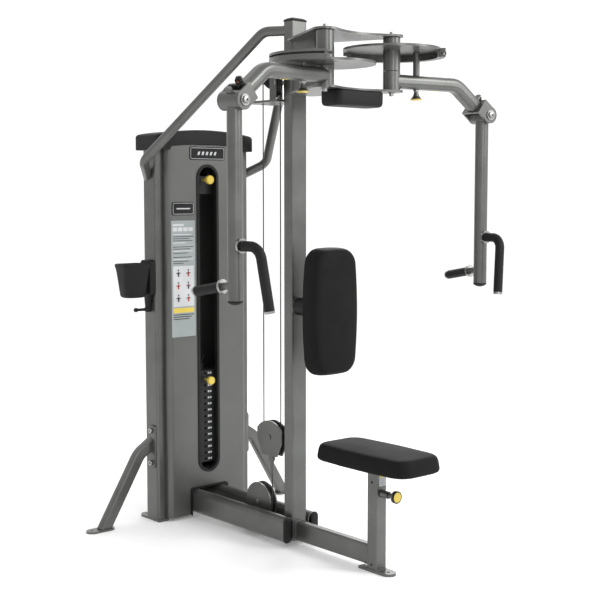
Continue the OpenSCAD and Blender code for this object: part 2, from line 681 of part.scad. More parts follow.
module forearm() {
    difference() {
        union() {
            at_knuckle() y_cyl(knuckle_r, -clevis_in + 0.6, clevis_in - 0.6);
            translate([arm_reach, 0, hang_z + 6]) linear_extrude(knuckle_z - hang_z - 6)
                ring2d(hang_d / 2, hang_d / 2 - wall);
            at_knuckle() rotate([0, -52, 0]) slab(28, 50, -12, 12, -6, 6);
            fly_sweep(0, 8) circle(core_r);
            rear_axis() cylinder(h = rear_len - 8, r = core_r);
        }
        at_knuckle() y_cyl(bolt_r + fit, -60, 60);
        translate([arm_reach, 0, hang_z]) cylinder(h = knuckle_z - hang_z - knuckle_r, r = hang_d / 2 - wall);
    }
}
module left_forearm() color([0.45, 0.45, 0.43]) placed() arm_axes(-1) forearm();
module right_forearm() color([0.45, 0.45, 0.43]) placed() arm_axes(1) forearm();

module collars() {
    translate([arm_reach, 0, fly_z - 0.1]) rotate([90, 0, 0]) translate([0, 0, 26]) linear_extrude(9)
        ring2d(25, core_r + 0.3);
    rear_axis() translate([0, 0, 32]) linear_extrude(9) ring2d(24, core_r + 0.1);
    rear_axis() translate([0, 0, rear_len - 8]) cylinder(h = 8, r = grip_d / 2);
    in_axes(fly_route[2] - 8 * fly_end, fly_end, [1, 0, 0]) cylinder(h = 8, r = grip_d / 2);
}
module left_collars() color([0.85, 0.85, 0.85]) placed() arm_axes(-1) collars();
module right_collars() color([0.85, 0.85, 0.85]) placed() arm_axes(1) collars();

module grips() {
    fly_sweep(13, 8.2) ring2d(grip_d / 2, core_r + 0.3);
    rear_axis() translate([0, 0, 41.2]) linear_extrude(rear_len - 8.2 - 41.2) ring2d(grip_d / 2, core_r + 0.3);
    // domed plug in the hanging tube's lower end
    translate([arm_reach, 0, hang_z]) {
        cyl(hang_d / 2 - wall - 0.2, 5, 24);
        intersection() {
            cyl(hang_d / 2, -9, 5.8);
            translate([0, 0, 31]) sphere(40, $fn = 96);
        }
    }
}
module left_grips() color([0.06, 0.06, 0.06]) placed() arm_axes(-1) grips();
module right_grips() color([0.06, 0.06, 0.06]) placed() arm_axes(1) grips();

module pull_pin(tip) translate([pin_at, 0, 0]) {
    cyl(pin_r, 1722, tip - 0.2);
    rotate_extrude() polygon([[0, 1714], [20.5, 1714], [20.5, 1719], [12, 1729], [8.5, 1740], [8, 1749], [0, 1749]]);
}
module left_pull_pin() color([0.2, 0.2, 0.22]) placed() arm_axes(-1) pull_pin(post_left);
module right_pull_pin() color([0.2, 0.2, 0.22]) placed() arm_axes(1) pull_pin(post_right);

// ---- floating pulley and wheels ----
module floating_cheeks() color([0.4, 0.4, 0.38]) placed() translate([0, float_y, floating_z]) {
    for (s = [-1, 1]) along_x(s * 14 - 2.5, s * 14 + 2.5) difference() {
        intersection() {
            polygon([[-76, 70], [-76, -12], [-46, -74], [46, -74], [76, -12], [76, 70]]);
            translate([0, -34]) circle(100, $fn = 96);
        }
        circle(axle_r);
    }
    axle_x(16.5, 10);
    translate([0, 0, -74]) slab(-11.5, 11.5, -20, 20, 0, 8);
    translate([0, 0, -96]) cylinder(h = 22, r = 12);
    translate([0, 0, -150]) cylinder(h = 54, r = 7);
}

module floating_wrap() color([0.3, 0.3, 0.3]) placed() translate([0, float_y, floating_z])
    rotate([90, 0, 90]) rotate_extrude(angle = -180) translate([float_r, 0]) circle(cable_r, $fn = 24);

module floating_wheel() color([0.08, 0.08, 0.08]) placed() translate([0, float_y, floating_z]) wheel_x(float_r);
module lower_wheel() color([0.08, 0.08, 0.08]) placed() translate([0, low_y, low_z]) wheel_x(low_r);
module upper_left_wheel() color([0.08, 0.08, 0.08]) placed() wheel_plane(run_front_y, left_groove_z, -1) wheel(top_r);
module upper_right_wheel() color([0.08, 0.08, 0.08]) placed() wheel_plane(run_rear_y, right_groove_z, 1) wheel(top_r);
module tower_top_wheel() color([0.08, 0.08, 0.08]) placed()
    translate([0, tower_wheel_y, tower_wheel_top]) wheel_x(tower_r);
module tower_base_wheel() color([0.08, 0.08, 0.08]) placed()
    translate([0, tower_wheel_y, tower_wheel_low]) wheel_x(tower_r);

// ---- what the cable lifts ----
module lifted_plates() color([0.12, 0.12, 0.12]) placed() {
    for (i = [plates - lifted:plates - 1]) plate_solid(i);
    // selector rod through the stack, with its stem and cable fitting
    translate([0, stack_y, 0]) difference() {
        union() {
            cyl(12, stack_z + 2, stack_top);
            cyl(22, stack_top, stack_top + 24);
            cyl(10, stack_top + 24, stem_top);
        }
        for (i = [0:plates - 1]) translate([0, 0, stack_z + i * plate_pitch + plate_t / 2]) y_cyl(5.5, -30, 30);
    }
}

module selector_pin() color([0.8, 0.68, 0.2]) placed() translate([0, 0, pin_z]) {
    y_cyl(4.7, 556, stack_y + 10);
    y_cyl(17, 545, 557);
    y_cyl(10, 557, 566);
}

module addon_knob() color([0.8, 0.68, 0.2]) placed() translate([0, 0, 1425]) {
    y_cyl(5, 566, 624);
    y_cyl(18, 545, 557);
    y_cyl(11, 557, 572);
}

// ---- seat ----
module seat_carriage() color([0.4, 0.4, 0.38]) placed() {
    difference() {
        translate([0, seat_y, 124]) linear_extrude(seat_z - 10 - 124) tube2d(post_s - 2 * wall - 1, post_s - 2 * wall - 1, 3);
        for (i = [0:3]) translate([0, seat_y - post_s / 2, seat_pin_z - 38 * i]) y_cyl(pin_r + 0.4, -10, 12);
    }
    translate([0, seat_y, seat_z - 10]) linear_extrude(8) rrect(120, 300, 12);
}

module seat_pad() color([0.07, 0.07, 0.07]) placed() translate([0, seat_y, seat_z]) hull() {
    linear_extrude(3) rrect(pad_w - 14, seat_len - 14, 40, $fn = 32);
    translate([0, 0, 14]) linear_extrude(34) rrect(pad_w, seat_len, 46, $fn = 32);
    translate([0, 0, 64]) linear_extrude(4) rrect(pad_w - 24, seat_len - 24, 40, $fn = 32);
}

module seat_pull_pin() color([0.8, 0.68, 0.2]) placed() translate([0, seat_y - post_s / 2, seat_pin_z]) {
    y_cyl(pin_r, -66, wall + 0.2);
    y_cyl(9, -66, -37);
    y_cyl(22, -78, -66);
}

upright();
end_caps();
base_beams();
panel_trim();
seat_beam();
seat_post();
pad_mount();
back_pad();
tower_frame();
front_shroud();
rear_cover();
tower_cap();
nameplates();
guide_rods();
stack_cushions();
resting_plates();
addon_weight();
side_legs();
frame_bolts();
braces();
storage_bin();
pivot_frame();
pivot_shafts();
head_guard();
pulley_brackets();
pulley_axles();
fixed_cables();
drop_cables();
stack_cable();
lift_cable();
left_cam();
right_cam();
left_arm();
right_arm();
left_knuckle_pin();
right_knuckle_pin();
left_stops();
right_stops();
left_forearm();
right_forearm();
left_collars();
right_collars();
left_grips();
right_grips();
left_pull_pin();
right_pull_pin();
floating_cheeks();
floating_wrap();
floating_wheel();
lower_wheel();
upper_left_wheel();
upper_right_wheel();
tower_top_wheel();
tower_base_wheel();
lifted_plates();
selector_pin();
addon_knob();
seat_carriage();
seat_pad();
seat_pull_pin();
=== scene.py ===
import json
import math
import bpy
import bmesh
import numpy as np
from mathutils import Matrix, Vector, noise

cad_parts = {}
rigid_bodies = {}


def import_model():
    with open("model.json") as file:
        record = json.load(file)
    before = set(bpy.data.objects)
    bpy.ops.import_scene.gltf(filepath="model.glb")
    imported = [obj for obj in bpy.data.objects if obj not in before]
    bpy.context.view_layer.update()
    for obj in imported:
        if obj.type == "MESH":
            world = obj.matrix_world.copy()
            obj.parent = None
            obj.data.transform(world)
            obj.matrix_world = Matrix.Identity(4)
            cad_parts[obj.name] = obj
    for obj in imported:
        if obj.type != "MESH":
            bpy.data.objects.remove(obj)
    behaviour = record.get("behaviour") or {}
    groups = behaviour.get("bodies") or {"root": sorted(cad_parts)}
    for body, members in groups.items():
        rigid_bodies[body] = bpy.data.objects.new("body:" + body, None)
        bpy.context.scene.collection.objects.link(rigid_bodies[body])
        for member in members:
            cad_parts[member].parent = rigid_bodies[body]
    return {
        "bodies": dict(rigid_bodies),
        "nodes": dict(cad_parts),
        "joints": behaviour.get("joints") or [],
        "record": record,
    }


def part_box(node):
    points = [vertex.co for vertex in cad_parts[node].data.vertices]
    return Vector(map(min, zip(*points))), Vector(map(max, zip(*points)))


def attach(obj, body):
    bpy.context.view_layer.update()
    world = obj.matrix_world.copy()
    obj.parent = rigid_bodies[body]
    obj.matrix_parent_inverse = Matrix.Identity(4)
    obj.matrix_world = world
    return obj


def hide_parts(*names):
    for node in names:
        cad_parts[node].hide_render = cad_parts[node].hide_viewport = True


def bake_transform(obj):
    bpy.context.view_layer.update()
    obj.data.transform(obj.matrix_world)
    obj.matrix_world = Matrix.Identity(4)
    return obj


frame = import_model()
NODES = frame["nodes"]
keep = set(NODES.values()) | set(frame["bodies"].values())
for o in list(bpy.data.objects):
    if o not in keep:
        bpy.data.objects.remove(o)
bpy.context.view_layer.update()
scene = bpy.context.scene

# ---- places taken from the frame, in metres ----
SIDES = (("left", -1), ("right", 1))
JOINT_AT = {j["name"]: Vector(j["pos_m"]) for j in frame["joints"] if "pos_m" in j}
PIVOT_X = JOINT_AT["right_cam_turn"].x
PIVOT_Y = JOINT_AT["right_cam_turn"].y
TOE = math.radians(7)      # how far each arm points towards the front at rest
ARM_DROP = math.radians(38)  # slope of the arm's outer end, down to its knuckle
INK = 0.0004               # thickness of a printed mark


# ---- materials ----
def material(name, low, high, rough, metal=0.0, grain=None, size=300.0, bump=0.1, blotch=9.0,
             coat=0.0, spread=0.06, spec=0.5):
    """A node material: colour drifts from low to high, roughness drifts, and fine relief gives the grain."""
    m = bpy.data.materials.new(name)
    m.use_nodes = True
    t = m.node_tree
    b = t.nodes["Principled BSDF"]
    b.inputs["Metallic"].default_value = metal
    b.inputs["Coat Weight"].default_value = coat
    b.inputs["Specular IOR Level"].default_value = spec
    b.inputs["Coat Roughness"].default_value = 0.25
    where = t.nodes.new("ShaderNodeTexCoord").outputs["Object"]

    def tex(kind, scale, **more):
        n = t.nodes.new(kind)
        n.inputs["Scale"].default_value = scale
        for k, v in more.items():
            n.inputs[k].default_value = v
        t.links.new(where, n.inputs["Vector"])
        return n

    def remap(value, lo, hi):
        n = t.nodes.new("ShaderNodeMapRange")
        n.inputs["To Min"].default_value = lo
        n.inputs["To Max"].default_value = hi
        t.links.new(value, n.inputs["Value"])
        return n.outputs["Result"]

    cloud = tex("ShaderNodeTexNoise", blotch, Detail=5.0)
    fine = tex("ShaderNodeTexNoise", size, Detail=2.0)
    ramp = t.nodes.new("ShaderNodeValToRGB")
    for stop, place, colour in zip(ramp.color_ramp.elements, (0.36, 0.66), (low, high)):
        stop.position = place
        stop.color = (*colour, 1)
    blend = t.nodes.new("ShaderNodeMath")
    blend.operation = "MULTIPLY_ADD"
    blend.inputs[1].default_value = 0.35
    t.links.new(fine.outputs["Fac"], blend.inputs[0])
    t.links.new(remap(cloud.outputs["Fac"], 0.0, 0.65), blend.inputs[2])
    t.links.new(blend.outputs[0], ramp.inputs["Fac"])
    t.links.new(ramp.outputs["Color"], b.inputs["Base Color"])
    t.links.new(remap(cloud.outputs["Fac"], rough - spread, rough + spread), b.inputs["Roughness"])
    relief = fine.outputs["Fac"]
    if grain == "leather":
        cells = tex("ShaderNodeTexVoronoi", size)
        cells.feature = "DISTANCE_TO_EDGE"
        relief = remap(cells.outputs["Distance"], 0.0, 1.6)
    elif grain == "ribbed":
        wave = tex("ShaderNodeTexWave", size, Distortion=0.4)
        wave.bands_direction = "DIAGONAL"
        relief = wave.outputs["Fac"]
    elif grain == "brushed":
        stretch = t.nodes.new("ShaderNodeMapping")
        stretch.inputs["Scale"].default_value = (1.0, 1.0, 0.04)
        t.links.new(where, stretch.inputs["Vector"])
        t.links.new(stretch.outputs["Vector"], fine.inputs["Vector"])
    node = t.nodes.new("ShaderNodeBump")
    node.inputs["Strength"].default_value = bump
    node.inputs["Distance"].default_value = 0.0006
    t.links.new(relief, node.inputs["Height"])
    t.links.new(node.outputs["Normal"], b.inputs["Normal"])
    return m


def grey(value):
    return (value, value, value)


FINISHES = {
    "frame_paint": ((0.108, 0.11, 0.104), (0.146, 0.149, 0.141), 0.34,
                    dict(metal=0.68, size=1400, bump=0.05, coat=0.12, spec=0.4)),
    "shroud_paint": ((0.108, 0.11, 0.104), (0.138, 0.141, 0.133), 0.4,
                     dict(metal=0.64, size=1400, bump=0.05, coat=0.1, blotch=4, spec=0.4)),
    "black_paint": (grey(0.01), grey(0.018), 0.45, dict(size=700, bump=0.15, spec=0.2)),
    "stack_paint": (grey(0.016), grey(0.03), 0.5, dict(metal=0.2, size=500, bump=0.3, spec=0.3)),
    "polished_steel": ((0.3, 0.3, 0.295), (0.42, 0.42, 0.41), 0.26,
                       dict(metal=1.0, grain="brushed", size=900, bump=0.05)),
    "zinc_steel": ((0.1, 0.098, 0.094), (0.18, 0.176, 0.168), 0.34,
                   dict(metal=0.9, grain="brushed", size=800, bump=0.1)),
    "steel_cable": (grey(0.04), grey(0.09), 0.4,
                    dict(metal=0.5, grain="ribbed", size=420, bump=0.6, spec=0.3)),
    "black_plastic": ((0.0085, 0.0085, 0.009), (0.015, 0.015, 0.0155), 0.48,
                      dict(size=900, bump=0.35, spec=0.2)),
    "wheel_plastic": (grey(0.01), grey(0.018), 0.4, dict(size=500, bump=0.08, spec=0.25)),
    "black_rubber": (grey(0.007), grey(0.013), 0.55, dict(size=1100, bump=0.5, spread=0.1, spec=0.2)),
    "upholstery": ((0.0068, 0.0066, 0.0066), (0.0106, 0.0103, 0.0103), 0.64,
                   dict(grain="leather", size=620, bump=0.5, blotch=14, spec=0.1)),
    "yellow_plastic": ((0.6, 0.45, 0.06), (0.7, 0.54, 0.1), 0.35,
                       dict(size=600, bump=0.05, coat=0.2, spec=0.3)),
    "label_face": ((0.27, 0.3, 0.3), (0.33, 0.36, 0.36), 0.4, dict(size=700, bump=0.04, spec=0.3)),
}
M = {name: material(name, low, high, rough, **more) for name, (low, high, rough, more) in FINISHES.items()}


def ink(name, low, high):
    return material(name, low, high, 0.45, size=500, bump=0.03, spec=0.3)


INK_WHITE = ink("ink_white", (0.5, 0.51, 0.52), (0.6, 0.61, 0.62))
INK_DARK = ink("ink_dark", (0.04, 0.04, 0.045), (0.06, 0.06, 0.065))
INK_RED = ink("ink_red", (0.36, 0.05, 0.04), (0.46, 0.08, 0.06))
COPPER = material("copper_face", (0.42, 0.15, 0.07), (0.55, 0.22, 0.12), 0.45, 0.6, size=500, bump=0.1)


def shade_smooth(me, sharp_from=None):
    me.polygons.foreach_set("use_smooth", [True] * len(me.polygons))
    if sharp_from:
        me.set_sharp_from_angle(angle=math.radians(sharp_from))


for s in frame["record"]["subparts"]:
    me = NODES[s["node"]].data
    me.materials.clear()
    me.materials.append(M[s["material_slot"]])
    shade_smooth(me, 32)


# ---- mesh helpers ----
def finish_piece(name, bm, mats, body, smooth=40):
    """Makes a named object from bm; body None leaves it unattached."""
    me = bpy.data.meshes.new(name)
    bmesh.ops.recalc_face_normals(bm, faces=bm.faces)
    bm.to_mesh(me)
    bm.free()
    o = bpy.data.objects.new(name, me)
    scene.collection.objects.link(o)
    for m in mats if isinstance(mats, list) else [mats]:
        me.materials.append(m)
    shade_smooth(me, smooth)
    if body:
        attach(o, body)
    return o


def rounded(w, h, r, n=8):
    """The outline of a rectangle with round corners, n steps to a corner."""
    out = []
    for cx, cy, start in ((w / 2 - r, h / 2 - r, 0), (r - w / 2, h / 2 - r, 90),
                          (r - w / 2, r - h / 2, 180), (w / 2 - r, r - h / 2, 270)):
        for k in range(n + 1):
            a = math.radians(start + 90 * k / n)
            out.append((cx + r * math.cos(a), cy + r * math.sin(a)))
    return out


def stepped(outline, step):
    """The same closed outline with its long stretches cut into steps."""
    out = []
    for (ax, ay), (bx, by) in zip(outline, outline[1:] + outline[:1]):
        count = max(1, int(math.hypot(bx - ax, by - ay) / step))
        out += [(ax + (bx - ax) * k / count, ay + (by - ay) * k / count) for k in range(count)]
    return out


def circle(r, seg):
    return [(r * math.cos(a), r * math.sin(a)) for a in (2 * math.pi * k / seg for k in range(seg))]


def join_rings(bm, rings, index=0):
    """Quads between rings of equal length."""
    n = len(rings[0])
    for a, b in zip(rings, rings[1:]):
        for k in range(n):
            bm.faces.new((a[k], a[(k + 1) % n], b[(k + 1) % n], b[k])).material_index = index


def loft(bm, loops, index=0):
    """A closed skin through loops of equal length."""
    rings = [[bm.verts.new(p) for p in loop] for loop in loops]
    join_rings(bm, rings, index)
    for ring in (rings[0], rings[-1]):
        bm.faces.new(ring).material_index = index


def loop_z(cx, cy, w, d, r, z, n=8):
    return [(cx + a, cy + b, z) for a, b in rounded(w, d, r, n)]


def loop_y(cx, cz, w, h, r, y, n=8):
    return [(cx + a, y, cz + b) for a, b in rounded(w, h, r, n)]


def lathe(bm, origin, axis, profile, seg=40, index=0):
    """A turned shape; profile is (radius, distance along axis), both ends closed at the axis."""
    z = Vector(axis).normalized()
    x = z.orthogonal().normalized()
    y = z.cross(x)
    turn = Matrix((x, y, z)).transposed().to_4x4()
    turn.translation = origin
    rings = []
    for r, along in profile:
        ring = circle(r, seg) if r > 1e-6 else [(0, 0)]
        rings.append([bm.verts.new(turn @ Vector((a, b, along))) for a, b in ring])
    for a, b in zip(rings, rings[1:]):
        for k in range(seg):
            corners = [a[k % len(a)], a[(k + 1) % len(a)], b[(k + 1) % len(b)], b[k % len(b)]]
            corners = list(dict.fromkeys(corners))
            if len(corners) > 2:
                bm.faces.new(corners).material_index = index


def tube(bm, points, radius, seg=10):
    """A round bar along points, closed at both ends."""
    pts = [Vector(p) for p in points]
    x = (pts[1] - pts[0]).orthogonal().normalized()
    loops = []
    for i, p in enumerate(pts):
        d = (pts[min(i + 1, len(pts) - 1)] - pts[max(i - 1, 0)]).normalized()
        x = (x - x.dot(d) * d).normalized()
        y = d.cross(x)
        loops.append([p + a * x + b * y for a, b in circle(radius, seg)])
    loft(bm, loops)


def plaque(bm, cx, cz, w, h, r, y, thick, index=0):
    """A rounded plate facing -Y with a softened front edge; y is its front face."""
    soft = min(0.0008, thick * 0.4)
    loft(bm, [loop_y(cx, cz, w - 2 * inset, h - 2 * inset, max(r - inset, 1e-4), yy)
              for inset, yy in ((0, y + thick), (0, y + soft), (soft, y))], index)


def border(bm, cx, cz, w, h, r, line, y, index):
    """A thin printed border on a plate facing -Y."""
    rings = []
    for inset, yy in ((0, y + INK), (0, y), (line, y), (line, y + INK)):
        ring = loop_y(cx, cz, w - 2 * inset, h - 2 * inset, max(r - inset, 1e-4), yy)
        rings.append([bm.verts.new(p) for p in ring])
    join_rings(bm, rings + rings[:1], index)


def patch(bm, x0, x1, z0, z1, y, index, cut=0.0):
    """A printed mark on a plate facing -Y; cut slants its ends."""
    flat = ((x0, z0), (x1 - cut, z0), (x1, z1), (x0 + cut, z1))
    loft(bm, [[(x, yy, z) for x, z in flat] for yy in (y, y + INK)], index)


# ---- pads: lofted, filled out by a cloth simulation, then subdivided ----
def apply_modifier(o, mod):
    with bpy.context.temp_override(object=o, active_object=o, selected_objects=[o]):
        bpy.ops.object.modifier_apply(modifier=mod.name)


def coordinates(me):
    co = np.zeros(len(me.vertices) * 3)
    me.vertices.foreach_get("co", co)
    return co.reshape(-1, 3)


def spread_moves(me, move, passes=60, share=0.7):
    """Evens out how far neighbouring points move, so that the cloth has no creases finer than a hand."""
    ends = np.zeros(len(me.edges) * 2, dtype=np.int32)
    me.edges.foreach_get("vertices", ends)
    ends = ends.reshape(-1, 2)
    count = np.maximum(np.bincount(ends.ravel(), minlength=len(move)).reshape(-1, 1), 1)
    for _ in range(passes):
        total = np.zeros_like(move)
        np.add.at(total, ends[:, 0], move[ends[:, 1]])
        np.add.at(total, ends[:, 1], move[ends[:, 0]])
        move = (1 - share) * move + share * total / count
    return move


def inflate(o, held_below=0.006, cap=0.0035):
    """Blows the cover up like a filled cushion; its base is held and no point moves much past cap."""
    bpy.context.view_layer.objects.active = o
    even = o.modifiers.new("even", "REMESH")
    even.mode, even.voxel_size = "VOXEL", 0.0055
    apply_modifier(o, even)
    rest = coordinates(o.data)
    held = o.vertex_groups.new(name="held")
    held.add([int(i) for i in np.where(rest[:, 2] < held_below)[0]], 1.0, "REPLACE")
    cloth = o.modifiers.new("inflate", "CLOTH")
    cloth.settings.use_pressure = True
    cloth.settings.uniform_pressure_force = 4.0
    cloth.settings.vertex_group_mass = "held"
    cloth.settings.effector_weights.gravity = 0
    cloth.settings.tension_stiffness = cloth.settings.compression_stiffness = 60
    cloth.settings.quality = 5
    for f in range(1, 21):
        scene.frame_set(f)
    seen = o.evaluated_get(bpy.context.evaluated_depsgraph_get())
    move = spread_moves(o.data, coordinates(seen.data) - rest)
    far = float(np.percentile(np.linalg.norm(move, axis=1), 99))
    move *= cap / max(cap, far)
    o.modifiers.remove(cloth)
    o.vertex_groups.clear()
    o.data.vertices.foreach_set("co", (rest + move).ravel())
    scene.frame_set(1)


def pad(name, node, body, base, up, along, w, length, levels, barrel, crown):
    """A crowned cushion. levels are (inset, height): it is built lying down and then stood in place."""
    half_w, half_l = w / 2, length / 2
    cover = stepped(rounded(w, length, 0.046, 9), 0.012)
    loops = []
    for inset, z in levels:
        loop = []
        for x, y in cover:
            px, py = x * (half_w - inset) / half_w, y * (half_l - inset) / half_l
            if px:
                px -= math.copysign(barrel * (py / half_l) ** 2 * min(1, abs(px) / (half_w * 0.6)), px)
            if py:
                py -= math.copysign(barrel * 0.6 * (px / half_w) ** 2 * min(1, abs(py) / (half_l * 0.8)), py)
            loop.append((px, py, z))
        loops.append(loop)
    shrink = (0.8, 0.6, 0.4, 0.2)
    under = [[(x * s, y * s, z) for x, y, z in loops[0]] for s in reversed(shrink)]
    crest = [[(x * s, y * s, z + crown * (1 - s * s)) for x, y, z in loops[-1]] for s in shrink]
    bm = bmesh.new()
    loft(bm, under + loops + crest)
    o = finish_piece(name, bm, M["upholstery"], None, 60)
    inflate(o)
    fine = o.modifiers.new("fine", "SUBSURF")
    fine.levels = fine.render_levels = 1
    apply_modifier(o, fine)
    shade_smooth(o.data)
    up, along = Vector(up), Vector(along)
    stand = Matrix((along.cross(up), along, up)).transposed().to_4x4()
    stand.translation = base
    o.data.transform(stand)
    o.data.update()
    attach(o, body)
    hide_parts(node)


lo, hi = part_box("seat_pad")
pad("seat_cushion", "seat_pad", "seat", (0, (lo.y + hi.y) / 2, lo.z + 0.0005), (0, 0, 1), (0, 1, 0),
    hi.x - lo.x + 0.012, hi.y - lo.y + 0.012,
    [(0.009, 0.0), (0.002, 0.005), (0.0, 0.012), (0.002, 0.03), (0.005, 0.046), (0.009, 0.055),
     (0.016, 0.0605), (0.028, 0.063)], barrel=0.012, crown=0.003)
lo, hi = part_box("back_pad")
pad("back_cushion", "back_pad", "frame", (0, hi.y - 0.0005, (lo.z + hi.z) / 2), (0, -1, 0), (0, 0, 1),
    hi.x - lo.x + 0.002, hi.z - lo.z + 0.002,
    [(0.009, 0.0), (0.002, 0.006), (0.0, 0.016), (0.001, 0.04), (0.004, 0.058), (0.009, 0.069),
     (0.017, 0.076), (0.03, 0.079)], barrel=0.016, crown=0.003)


# ---- moulded caps, head guard and storage bin ----
def moulded_caps():
    """The domed cap on the upright and the round-ended plugs in the two base beams."""
    bm = bmesh.new()
    lo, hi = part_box("upright")
    lip = 0.0056
    w, d = hi.x - lo.x + lip, hi.y - lo.y + lip
    rise = [(0.002, 0.0), (0.0, 0.0012), (0.0, 0.0042), (0.0012, 0.0062), (0.005, 0.0092), (0.011, 0.0122),
            (0.018, 0.0144), (0.0235, 0.0156)]
    loft(bm, [loop_z((lo.x + hi.x) / 2, (lo.y + hi.y) / 2, w - 2 * inset, d - 2 * inset,
                     max(0.011 - inset * 0.3, 0.003), hi.z + z) for inset, z in rise])
    lo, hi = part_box("base_beams")
    w, h = 0.0381, hi.z - lo.z
    bulge = [(-0.0002, 0.0004), (-0.0004, 0.0), (0.0, -0.0012), (0.0012, -0.0028), (0.004, -0.0044),
             (0.0085, -0.0055), (0.013, -0.0059)]
    for _, s in SIDES:
        loft(bm, [loop_y(s * (hi.x - w / 2), (hi.z + lo.z) / 2, w - 2 * inset, h - 2 * inset,
                         (w - 2 * inset) / 2 - 0.0001, lo.y + y) for inset, y in bulge])
    caps = finish_piece("moulded_caps", bm, M["black_plastic"], "frame", 50)
    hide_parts("end_caps")


def moulded_guard():
    """The head guard: a soft block whose front bows towards the user."""
    lo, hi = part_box("head_guard")
    w, d, h = hi - lo
    swell = ((0.02, 0.0), (0.012, 0.012), (0.006, 0.05), (0.002, 0.13), (0.0005, 0.26), (0.0, 0.45),
             (0.0, 0.82), (0.001, 0.93), (0.004, 0.985), (0.009, 1.0))
    loops = []
    for inset, share in swell:
        loop = []
        for x, y in rounded(w - 2 * inset, d - 2 * inset, 0.026 - inset * 0.4, 10):
            bow = 0.006 * (2 * x / w) ** 2 if y < 0 else 0
            loop.append((x, (lo.y + hi.y) / 2 + y + bow, lo.z + h * share))
        loops.append(loop)
    bm = bmesh.new()
    loft(bm, loops)
    guard = finish_piece("moulded_guard", bm, M["black_rubber"], "frame", 50)
    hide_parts("head_guard")


def moulded_tower_cap():
    """The tower's arched cap, with its lower edge raised over the front panel."""
    lo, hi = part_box("tower_cap")
    mid_y, w, d = (lo.y + hi.y) / 2, hi.x - lo.x - 0.0005, hi.y - lo.y - 0.0005
    roof_r, panel_r, panel_top, panel_half = 1.4, 2.0, 1.570, 0.188

    def roof(x):
        return hi.z - roof_r + math.sqrt(roof_r * roof_r - x * x)

    def sill(x, y):
        raised = panel_top - panel_r + math.sqrt(panel_r * panel_r - x * x)
        share = max(0.0, min(1.0, (panel_half - abs(x)) / 0.004)) if y < lo.y + 0.02 else 0.0
        return lo.z + (raised - lo.z) * share

    def inward(x, y, inset):
        return x * (1 - 2 * inset / w), mid_y + (y - mid_y) * (1 - 2 * inset / d)

    plan = [(x, mid_y + y) for x, y in stepped(rounded(w, d, 0.022, 10), 0.0042)]
    edge = 0.012  # height of the roof's rounded edge
    loops = []
    for inset, share in ((0.004, 1.0), (0.004, 0.02), (0.0006, 0.0), (0.0, 0.012)):
        loop = []
        for x, y in plan:
            low = sill(x, y)
            loop.append((*inward(x, y, inset), low + (roof(x) - edge - low) * share))
        loops.append(loop)
    for inset, drop in ((0.0, 0.0115), (0.0012, 0.0068), (0.004, 0.0032), (0.008, 0.001), (0.014, 0.0),
                        (0.04, 0.0), (0.07, 0.0), (0.09, 0.0)):
        loop = []
        for x, y in plan:
            px, py = inward(x, y, inset)
            loop.append((px, py, roof(px) - drop))
        loops.append(loop)
    bm = bmesh.new()
    loft(bm, loops)
    cap = finish_piece("moulded_tower_cap", bm, M["black_plastic"], "frame", 40)
    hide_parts("tower_cap")


def moulded_bin():
    """The storage bin: a tapered bucket, its saddle plate, a stem and a peg for a towel."""
    lo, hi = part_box("storage_bin")
    mid_x, mid_y, floor_z = lo.x + 0.065, lo.y + 0.054, lo.z + 0.065
    outside = ((0.010, 0.0), (0.004, 0.004), (0.002, 0.010), (0.0, 0.09), (-0.002, 0.112), (-0.0045, 0.124),
               (-0.0058, 0.1285), (-0.006, 0.133), (-0.0052, 0.137), (-0.003, 0.1384))
    inside = ((0.001, 0.1375), (0.0035, 0.133), (0.0035, 0.09), (0.010, 0.006))
    loops = []
    for wall, corner in ((outside, 0.028), (inside, 0.026)):
        for inset, z in wall:
            taken = 2 * (inset + 0.008 * (1 - min(1, z / 0.1)))
            loops.append(loop_z(mid_x, mid_y, 0.118 - taken, 0.096 - taken, corner, floor_z + z, 10))
    bm = bmesh.new()
    loft(bm, loops)
    back, foot = hi.x - 0.0002, lo.z + 0.07
    loft(bm, [[(back - out, mid_y + a, (foot + hi.z) / 2 + b)
               for a, b in rounded(0.075 - 2 * inset, hi.z - foot - 2 * inset, 0.014, 8)]
              for out, inset in ((0.0, 0.0), (0.02, 0.0), (0.0245, 0.0016), (0.026, 0.005))])
    stem, steps = [], 12
    for k in range(steps + 1):
        t = k / steps
        stem.append(loop_z(back - 0.012, mid_y, 0.02, 0.044 - 0.022 * t, 0.006, lo.z + 0.09 - 0.078 * t, 6))
    loft(bm, stem)
    peg = [(0.0, 0.0), (0.0115, 0.0), (0.0115, 0.018), (0.009, 0.022), (0.006, 0.03), (0.0055, 0.055),
           (0.0062, 0.062), (0.0088, 0.067), (0.009, 0.072), (0.0075, 0.0765), (0.0, 0.078)]
    lathe(bm, (back - 0.002, mid_y, lo.z + 0.0125), (-1, 0, 0), peg, 28)
    bin_piece = finish_piece("moulded_bin", bm, M["black_plastic"], "frame", 45)
    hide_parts("storage_bin")


moulded_caps()
moulded_guard()
moulded_tower_cap()
moulded_bin()


